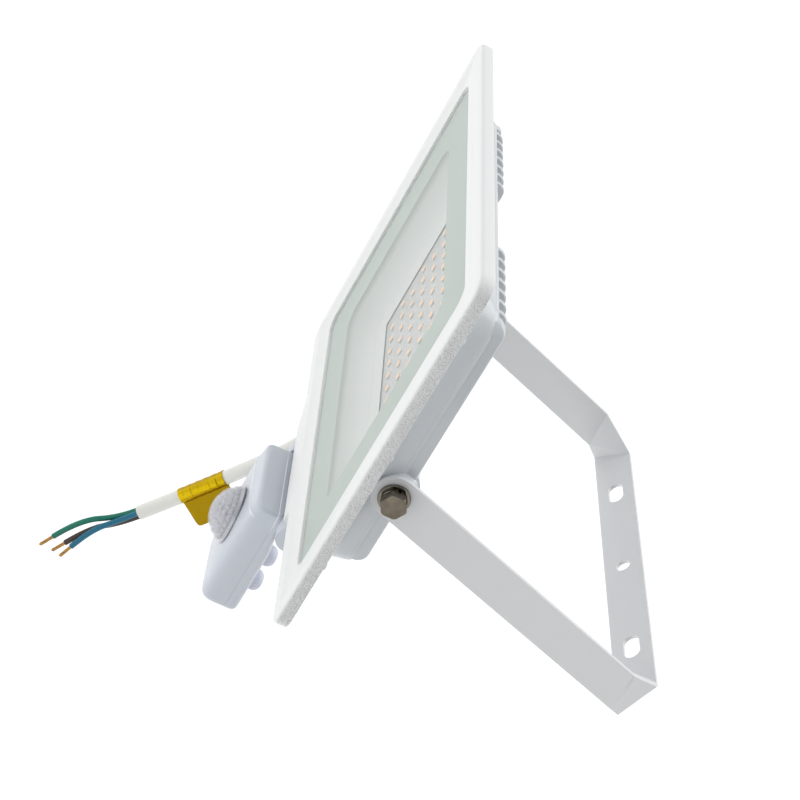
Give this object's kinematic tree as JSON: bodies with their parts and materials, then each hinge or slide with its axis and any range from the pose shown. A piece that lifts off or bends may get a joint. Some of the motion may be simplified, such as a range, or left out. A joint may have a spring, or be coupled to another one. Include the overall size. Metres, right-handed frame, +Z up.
{
  "type": "motion sensor floodlight",
  "caption": "Flat rectangular LED floodlight on a folded U bracket, with a tilting passive infrared motion sensor below and a stripped mains cord.",
  "frame": {"origin": "centre of the bracket plate's middle hole, on the face that lies on the wall", "axes": "+Z up the wall, +Y into the wall, -Y out to the front, +X to the right of a person facing the lamp"},
  "size_m": [0.2564, 0.2336, 0.325],
  "materials": {
    "white_paint": "glossy white powder coat, faint orange peel",
    "white_casting": "cast aluminium under a glossy white powder coat, sandy on its sides",
    "glass_printed": "float glass, pale grey green printed border on its rear face",
    "silicone": "matt translucent silicone",
    "reflector_white": "satin white folded sheet",
    "board_white": "white solder mask over aluminium",
    "led_yellow": "yellow phosphor resin in a white cup",
    "thermal_grey": "matt soft pad",
    "board_green": "satin green laminate",
    "black_resin": "moulded black epoxy",
    "blue_disc": "blue dipped disc",
    "fuse_glass": "clear tube, metal caps",
    "terminal_grey": "satin moulded",
    "zinc_steel": "bright zinc, light scratches",
    "bolt_steel": "dull stainless, stamped head left bare",
    "sensor_plastic": "satin lilac white moulded",
    "lens_plastic": "milky moulded polythene",
    "gland_plastic": "satin white nylon",
    "sheath_rubber": "matt cream rubber sheath",
    "core_green": "satin green insulation with its yellow line",
    "core_blue": "satin blue insulation",
    "core_brown": "satin brown insulation",
    "copper": "bare stranded copper",
    "yellow_foil": "glossy yellow foil, left bare",
    "knob_plastic": "satin moulded",
    "detector_can": "plated can with dark window"
  },
  "bodies": {
    "bracket": {"yoke": "white_paint"},
    "head": {"arm_screws": "zinc_steel", "back_housing": "white_casting", "board_screws": "zinc_steel", "cable_flag": "yellow_foil", "cable_gland": "gland_plastic", "cable_sheath": "sheath_rubber", "copper_ends": "copper", "core_blue": "core_blue", "core_brown": "core_brown", "core_green": "core_green", "driver_board": "board_green", "flat_washers": "zinc_steel", "front_frame": "white_casting", "fuse": "fuse_glass", "gland_nut": "gland_plastic", "gland_seal": "silicone", "glass_pane": "glass_printed", "glass_seal": "silicone", "hinge_pin": "zinc_steel", "led_board": "board_white", "leds": "led_yellow", "pivot_bolts": "bolt_steel", "rectifier": "black_resin", "reflector": "reflector_white", "rim_screws": "zinc_steel", "sensor_arm": "sensor_plastic", "spring_washers": "zinc_steel", "terminal_block": "terminal_grey", "thermal_pad": "thermal_grey", "varistor": "blue_disc"},
    "sensor": {"infrared_detector": "detector_can", "light_resistor": "blue_disc", "pir_lens": "lens_plastic", "relay": "black_resin", "sensor_back": "sensor_plastic", "sensor_board": "board_green", "sensor_front": "sensor_plastic", "sensor_screws": "zinc_steel", "time_resistor": "blue_disc"},
    "time_knob": {"time_dial": "knob_plastic"},
    "light_knob": {"light_dial": "knob_plastic"}
  },
  "joints": [
    {"name": "head_tilt", "type": "hinge", "parent": "bracket", "child": "head", "pos_m": [0, -0.1521, -0.0425], "axis": [1, 0, 0], "range_deg": [-95, 25]},
    {"name": "sensor_tilt", "type": "hinge", "parent": "head", "child": "sensor", "pos_m": [0, -0.11182, -0.12262], "axis": [1, 0, 0], "range_deg": [-33, 45]},
    {"name": "time_turn", "type": "hinge", "parent": "sensor", "child": "time_knob", "pos_m": [0.012, -0.09361, -0.14893], "axis": [0, -0.8221, -0.5693], "range_deg": [-135, 135]},
    {"name": "light_turn", "type": "hinge", "parent": "sensor", "child": "light_knob", "pos_m": [0.012, -0.08433, -0.16233], "axis": [0, -0.8221, -0.5693], "range_deg": [-135, 135]}
  ]
}
